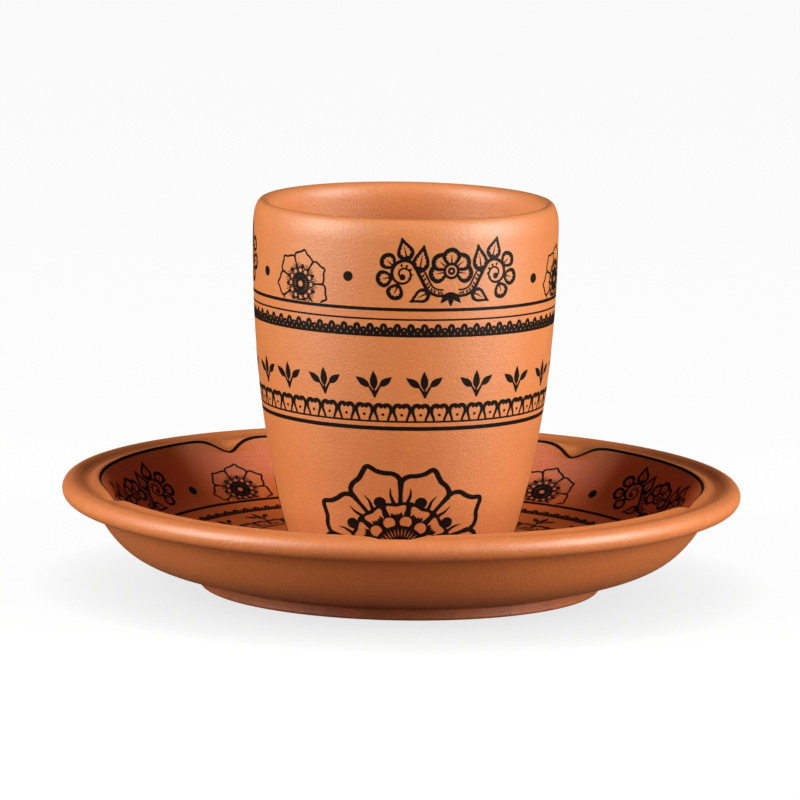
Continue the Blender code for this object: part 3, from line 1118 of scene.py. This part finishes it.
def handling():
    """Wear of the clay: standing edges rubbed paler; hollows darker with dirt and painted shade, and feet
    darker with painted contact shade.
    """
    tree, given, made = effect(
        "handling", {"Color": (COLOUR, WHITE), "Rubbed": (COLOUR, WHITE), "Dirt and shade": (COLOUR, WHITE),
                     "Amount": (FLOAT, CUP_WEAR)},
        {"Color": COLOUR, "Edge": FLOAT})
    patches = noise_of(tree, place_on(tree), WEAR_PATCHES, detail=3.0, roughness=0.65)
    uneven = spread_of(tree, patches, WIDE_SPAN, WEAR_DEPTHS)
    rubbed = times(tree, times(tree, mark_on(tree, "edge"), uneven), given["Amount"], clamp=True)
    dirt_and_shade = times(tree, times(tree, mark_on(tree, "hollow"), uneven), given["Amount"], clamp=True)
    worn = blend_of(tree, rubbed, given["Color"], given["Rubbed"])
    tree.links.new(blend_of(tree, dirt_and_shade, worn, given["Dirt and shade"]), made["Color"])
    tree.links.new(rubbed, made["Edge"])
    return tree


def new_material(name):
    made = bpy.data.materials.new(name)
    made.use_nodes = True
    made.node_tree.nodes.clear()
    return made, made.node_tree


def placed(tree, group, inputs=None):
    return put(tree, "Group", inputs, node_tree=group).outputs


def terracotta(name, warm, deep, inner, grain_size, wear):
    """Unglazed fired clay with a faint satin polish; inner tints its inside: painted light where it is
    paler, painted shade where it is deeper and redder.
    """
    made, tree = new_material(name)
    grain = placed(tree, CLAY_GRAIN, {"Grain": grain_size})
    tone = placed(tree, FIRING_TONE, {"Warm": (*warm, 1), "Deep": (*deep, 1)})
    marks = placed(tree, TURNING_MARKS)
    # Painted light and shade: the inside is tinted, paler in the cup and deeper in the saucer.
    colour = blend_of(tree, mark_on(tree, "inside"), tone["Color"], (*inner, 1), "MULTIPLY")
    colour = blend_of(tree, times(tree, grain["Dark specks"], DARK_SPECK_SHARE), colour, DARK_SPECK)
    colour = blend_of(tree, times(tree, grain["Pale specks"], PALE_SPECK_SHARE), colour, PALE_SPECK)
    worn = placed(tree, HANDLING, {"Color": colour, "Rubbed": RUBBED_CLAY, "Dirt and shade": DIRT_AND_SHADE_CLAY,
                                   "Amount": wear})
    rough = plus(tree, spread_of(tree, grain["Height"], WIDE_SPAN, CLAY_ROUGH),
                 times(tree, worn["Edge"], RUBBED_SMOOTHER))
    polish = spread_of(tree, grain["Height"], CLOSE_SPAN, CLAY_POLISH)
    height = plus(tree, grain["Height"], times(tree, marks["Height"], TURNING_SHARE))
    bump = put(tree, "Bump", {"Strength": 0.75, "Distance": 0.0002, "Height": height})
    shader = put(tree, "BsdfPrincipled", {
        "Base Color": worn["Color"], "Roughness": rough, "Normal": bump.outputs[0],
        "Specular IOR Level": 0.8, "Coat Weight": polish, "Coat Roughness": 0.38})
    put(tree, "OutputMaterial", {"Surface": shader.outputs[0]})
    return made


def printed_black():
    """Warm black transfer print, thinner in places so that the clay warms it."""
    made, tree = new_material("black_print")
    grain = placed(tree, CLAY_GRAIN, {"Grain": PRINT_GRAIN})
    tone = placed(tree, FIRING_TONE, {"Warm": (0.007, 0.0036, 0.0026, 1), "Deep": (0.004, 0.0022, 0.0018, 1),
                                      "Size": PRINT_DRIFT})
    colour = blend_of(tree, times(tree, grain["Pale specks"], THIN_PRINT_SHARE), tone["Color"], THIN_PRINT)
    rough = spread_of(tree, grain["Height"], WIDE_SPAN, PRINT_ROUGH)
    bump = put(tree, "Bump", {"Strength": 0.25, "Distance": 0.0001, "Height": grain["Height"]})
    shader = put(tree, "BsdfPrincipled", {
        "Base Color": colour, "Roughness": rough, "Normal": bump.outputs[0], "Specular IOR Level": 0.08,
        "Coat Weight": 0.14, "Coat Roughness": 0.36})
    put(tree, "OutputMaterial", {"Surface": shader.outputs[0]})
    return made


# Studio, in metres: floor and air look white, and give the clay only a dim light.
FLOOR_REACH = 4.0
FLOOR_COLOUR = (0.9, 0.9, 0.9, 1)
FLOOR_SHADOW = 0.05
FLOOR_BOUNCE = (0.22, 0.135, 0.08, 1)
FLOOR_SHEEN = 0.02
CONTACT_REACH = 0.02
CONTACT_SHADE = 0.8
AIR_SHEEN = 0.015
AIR_LIGHT = 0.005
LAMP_AIM = Vector((0, 0, 0.04))
LAMP_AWAY = 0.7
LAMP_WIDE = 0.38
LAMP_TALL = 0.5
LAMP_COLOUR = (1.0, 0.97, 0.9)


def seen_white(tree, share):
    """1 for a look straight at the studio or through glass, a share in a sheen, and 0 for light."""
    path = put(tree, "LightPath").outputs
    mirror = plus(tree, times(tree, path["Is Glossy Ray"], share), path["Is Transmission Ray"])
    return plus(tree, path["Is Camera Ray"], mirror, clamp=True)


def mixed_shader(tree, share, first, second):
    return put(tree, "MixShader", {0: share, 1: first.outputs[0], 2: second.outputs[0]})


def studio_floor():
    """A white table that shows the object's soft shadow and gives little light back."""
    made, tree = new_material("studio_floor")
    near = put(tree, "AmbientOcclusion", {"Distance": CONTACT_REACH}, samples=16)
    shade = spread_of(tree, near.outputs["AO"], (0.0, 1.0), (CONTACT_SHADE, 1.0))
    plain_white = put(tree, "Emission", {"Color": WHITE, "Strength": shade})
    lit = put(tree, "BsdfDiffuse", {"Color": FLOOR_COLOUR})
    look = mixed_shader(tree, FLOOR_SHADOW, plain_white, lit)
    dim = put(tree, "BsdfDiffuse", {"Color": FLOOR_BOUNCE})
    shader = mixed_shader(tree, seen_white(tree, FLOOR_SHEEN), dim, look)
    put(tree, "OutputMaterial", {"Surface": shader.outputs[0]})
    corners = block(-FLOOR_REACH, -FLOOR_REACH, FLOOR_REACH, FLOOR_REACH)
    mesh = bpy.data.meshes.new("studio_floor")
    mesh.from_pydata([(x, y, 0) for x, y in corners], [], [(0, 1, 2, 3)])
    mesh.materials.append(made)
    floor = bpy.data.objects.new("studio_floor", mesh)
    bpy.context.collection.objects.link(floor)


def studio_air():
    """White where it is looked at, and a weak even light on the object."""
    world = bpy.data.worlds.new("studio_air")
    world.use_nodes = True
    tree = world.node_tree
    tree.nodes.clear()
    dim = put(tree, "Background", {"Color": WHITE, "Strength": AIR_LIGHT})
    white = put(tree, "Background", {"Color": WHITE, "Strength": 1.0})
    mixed = mixed_shader(tree, seen_white(tree, AIR_SHEEN), dim, white)
    put(tree, "OutputWorld", {"Surface": mixed.outputs[0]})
    bpy.context.scene.world = world


def soft_box(name, turn, rise, power):
    """A flat lamp that faces the middle of the cup; turn counts from the front to the right."""
    lamp = bpy.data.lights.new(name, "AREA")
    lamp.shape = "RECTANGLE"
    lamp.size = LAMP_WIDE
    lamp.size_y = LAMP_TALL
    lamp.energy = power
    lamp.color = LAMP_COLOUR
    turn, rise = math.radians(turn), math.radians(rise)
    way = Vector((math.sin(turn) * math.cos(rise), -math.cos(turn) * math.cos(rise), math.sin(rise)))
    held = bpy.data.objects.new(name, lamp)
    held.location = LAMP_AIM + way * LAMP_AWAY
    held.rotation_euler = way.to_track_quat("Z", "Y").to_euler()
    bpy.context.collection.objects.link(held)


def camera():
    """The photograph's camera."""
    lens = bpy.data.cameras.new("camera")
    lens.sensor_width = SENSOR_WIDTH
    lens.lens = CAMERA_FOCAL * SENSOR_WIDTH
    lens.clip_start = CLIP_NEAR
    lens.clip_end = CLIP_FAR
    ahead = (CAMERA_AIM - CAMERA_AT).normalized()
    right = ahead.cross(Vector((0, 0, 1))).normalized()
    above = right.cross(ahead)
    tilt, keep = math.sin(CAMERA_ROLL), math.cos(CAMERA_ROLL)
    right, above = keep * right + tilt * above, keep * above - tilt * right
    held = bpy.data.objects.new("camera", lens)
    held.matrix_world = Matrix.Translation(CAMERA_AT) @ Matrix((right, above, -ahead)).transposed().to_4x4()
    bpy.context.collection.objects.link(held)
    bpy.context.scene.camera = held


CLAY_GRAIN = clay_grain()
FIRING_TONE = firing_tone()
TURNING_MARKS = turning_marks()
HANDLING = handling()
# inner: painted light that makes the cup's inside paler, and painted shade that makes the saucer's inside
# deeper and redder.
CUP_CLAY = terracotta("cup_terracotta", warm=(0.59, 0.194, 0.053), deep=(0.52, 0.163, 0.042),
                      inner=(1.17, 1.18, 1.25), grain_size=CUP_GRAIN, wear=CUP_WEAR)
# The cup's clay is set paler and the saucer's deeper and redder: painted light on the cup and painted shade
# on the saucer.
SAUCER_CLAY = terracotta("saucer_terracotta", warm=(0.56, 0.158, 0.035), deep=(0.49, 0.132, 0.027),
                         inner=(1.14, 0.74, 0.38), grain_size=SAUCER_GRAIN, wear=SAUCER_WEAR)
BLACK_PRINT = printed_black()

cup_section = eased(half_section("cup"))
saucer_section = eased(half_section("saucer"))
cup_rim = int(np.argmax(cup_section[:, 1]))
cup_foot = int(np.argmin(cup_section[:, 1]))
CUP_WALL = wall_of(cup_section[cup_rim:cup_foot + 1][::-1], 1)
saucer_section = finer(saucer_section, RIM_FROM, RIM_TO, RIM_STEP)
saucer_inside = saucer_section[:int(np.argmax(saucer_section[:, 0])) + 1]
SAUCER_WALL = wall_of(saucer_inside, -1, pressed_rim(wall_of(saucer_inside, -1)), hanging_rim)

cup = turned_clay("cup_body", cup_section, np.arange(CUP_TURNS) * FULL_TURN / CUP_TURNS,
                  along(cup_section)[cup_rim])
cup.data.materials.append(CUP_CLAY)
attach(cup, "cup")
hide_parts("cup")
saucer = turned_clay("saucer_body", saucer_section, saucer_turns(),
                     reach_at_radius(SAUCER_WALL, SCALLOP_PEAK_AT), SAUCER_WALL)
saucer.data.materials.append(SAUCER_CLAY)
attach(saucer, "saucer")
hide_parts("saucer")


def cup_at(height):
    """The reach and radius of the cup's outside at a height."""
    reach = reach_at_height(CUP_WALL, height)
    return reach, float(np.interp(reach, CUP_WALL.reach, CUP_WALL.radius))


def saucer_at(radius):
    """The reach of the saucer's inside at a radius, and the radius."""
    return reach_at_radius(SAUCER_WALL, radius), radius


def cup_print(name, jobs, lean=0.0):
    laid_print(name, "cup", CUP_WALL, jobs, lean)


def saucer_print(name, jobs):
    laid_print(name, "saucer", SAUCER_WALL, jobs)


def dress_cup():
    """All that is printed on the cup; the upper bands lean."""
    upper = ((CUP_TOP_RING_WIDTH, CUP_TOP_RING), (CUP_THIN_RING_WIDTH, CUP_THIN_RING))
    lower = ((CUP_ARCADE_RING_WIDTH, CUP_ARCADE_FOOT), (CUP_LOW_RING_WIDTH, CUP_LOW_RING))
    cup_print("cup_upper_rings", [ring(width, *cup_at(height)) for width, height in upper], BAND_LEAN)
    cup_print("cup_lower_rings", [ring(width, *cup_at(height)) for width, height in lower])
    cup_print("cup_lace_border", [border(lace_cell, CUP_LACE_CELLS, *cup_at(CUP_LACE_FOOT))], BAND_LEAN)
    cup_print("cup_arcade_border",
              [border(arcade_cell, CUP_ARCADE_CELLS, *cup_at(CUP_ARCADE_FOOT), CUP_ARCADE_TURN)])
    sprigs = [Place(turn, *cup_at(CUP_SPRIG_FOOT)) for turn in CUP_SPRIG_TURNS]
    cup_print("cup_leaf_sprigs", [(leaf_sprig(), sprigs)])
    rosettes = rounds(CUP_REPEATS, CUP_ROSETTE_TURN, *cup_at(CUP_ROSETTE_HEIGHT))
    cup_print("cup_rosettes", [(rosette(CUP_ROSETTE_LINE), rosettes)], BAND_LEAN)
    dots = [place for side, height in ((-1, CUP_LEFT_DOT_HEIGHT), (1, CUP_RIGHT_DOT_HEIGHT))
            for place in rounds(CUP_REPEATS, CUP_ROSETTE_TURN + side * CUP_DOT_TURN, *cup_at(height))]
    cup_print("cup_dots", [(DOT, dots)], BAND_LEAN)
    midway = CUP_ROSETTE_TURN + FULL_TURN / CUP_REPEATS / 2
    cup_print("cup_scrolls", [(SCROLL, rounds(CUP_REPEATS, midway, *cup_at(CUP_SCROLL_HEIGHT)))], BAND_LEAN)
    bloom = flower(CUP_FLOWER_RADIUS, FLOWER_LINE, CUP_PRINT_FOOT - CUP_FLOWER_HEIGHT)
    reach, radius = cup_at(CUP_FLOWER_HEIGHT)[0], cup_at(CUP_FLOWER_WRAP_HEIGHT)[1]
    cup_print("cup_base_flowers", [(bloom, rounds(CUP_REPEATS, CUP_FLOWER_TURN, reach, radius))])


def dress_saucer():
    """All that is printed on the inside of the saucer."""
    rings = ((SAUCER_TOP_RING_WIDTH, SAUCER_TOP_RING), (SAUCER_ARCADE_RING_WIDTH, SAUCER_ARCADE_FOOT),
             (SAUCER_LOW_RING_WIDTH, SAUCER_LOW_RING))
    saucer_print("saucer_rings", [ring(width, *saucer_at(radius)) for width, radius in rings])
    lace, places = border(lace_cell, SAUCER_LACE_CELLS, *saucer_at(SAUCER_LACE_FOOT))
    saucer_print("saucer_lace_border", [(stretched(lace, 1.0, SAUCER_LACE_TALL), places)])
    saucer_print("saucer_arcade_border",
                 [border(arcade_cell, SAUCER_ARCADE_CELLS, *saucer_at(SAUCER_ARCADE_FOOT))])
    sprigs = rounds(SAUCER_SPRIGS, 0.0, *saucer_at(SAUCER_SPRIG_FOOT))
    saucer_print("saucer_leaf_sprigs", [(leaf_sprig(SAUCER_SPRIG_SIZE), sprigs)])
    bloom = stretched(rosette(SAUCER_ROSETTE_LINE), SAUCER_MOTIF_WIDE, SAUCER_MOTIF_TALL)
    rosettes = rounds(SAUCER_REPEATS, SAUCER_ROSETTE_TURN, *saucer_at(SAUCER_ROSETTE_AT))
    saucer_print("saucer_rosettes", [(bloom, rosettes)])
    dots = [place for side in (-1, 1)
            for place in rounds(SAUCER_REPEATS, SAUCER_ROSETTE_TURN + side * SAUCER_DOT_TURN,
                                *saucer_at(SAUCER_DOT_AT))]
    saucer_print("saucer_dots", [(DOT, dots)])
    midway = SAUCER_ROSETTE_TURN + FULL_TURN / SAUCER_REPEATS / 2
    scrolls = rounds(SAUCER_REPEATS, midway, *saucer_at(SAUCER_SCROLL_AT))
    saucer_print("saucer_scrolls", [(stretched(SCROLL, SAUCER_MOTIF_WIDE, SAUCER_MOTIF_TALL), scrolls)])
    saucer_print("saucer_scallop_line", [scallop_line(SAUCER_WALL)])


DOT = dot()
SCROLL = scroll()
dress_cup()
dress_saucer()

studio_floor()
studio_air()
soft_box("left_soft_box", turn=-66, rise=22, power=7.4)
soft_box("right_soft_box", turn=67, rise=18, power=8.4)
camera()
bpy.context.scene.view_settings.view_transform = "Standard"
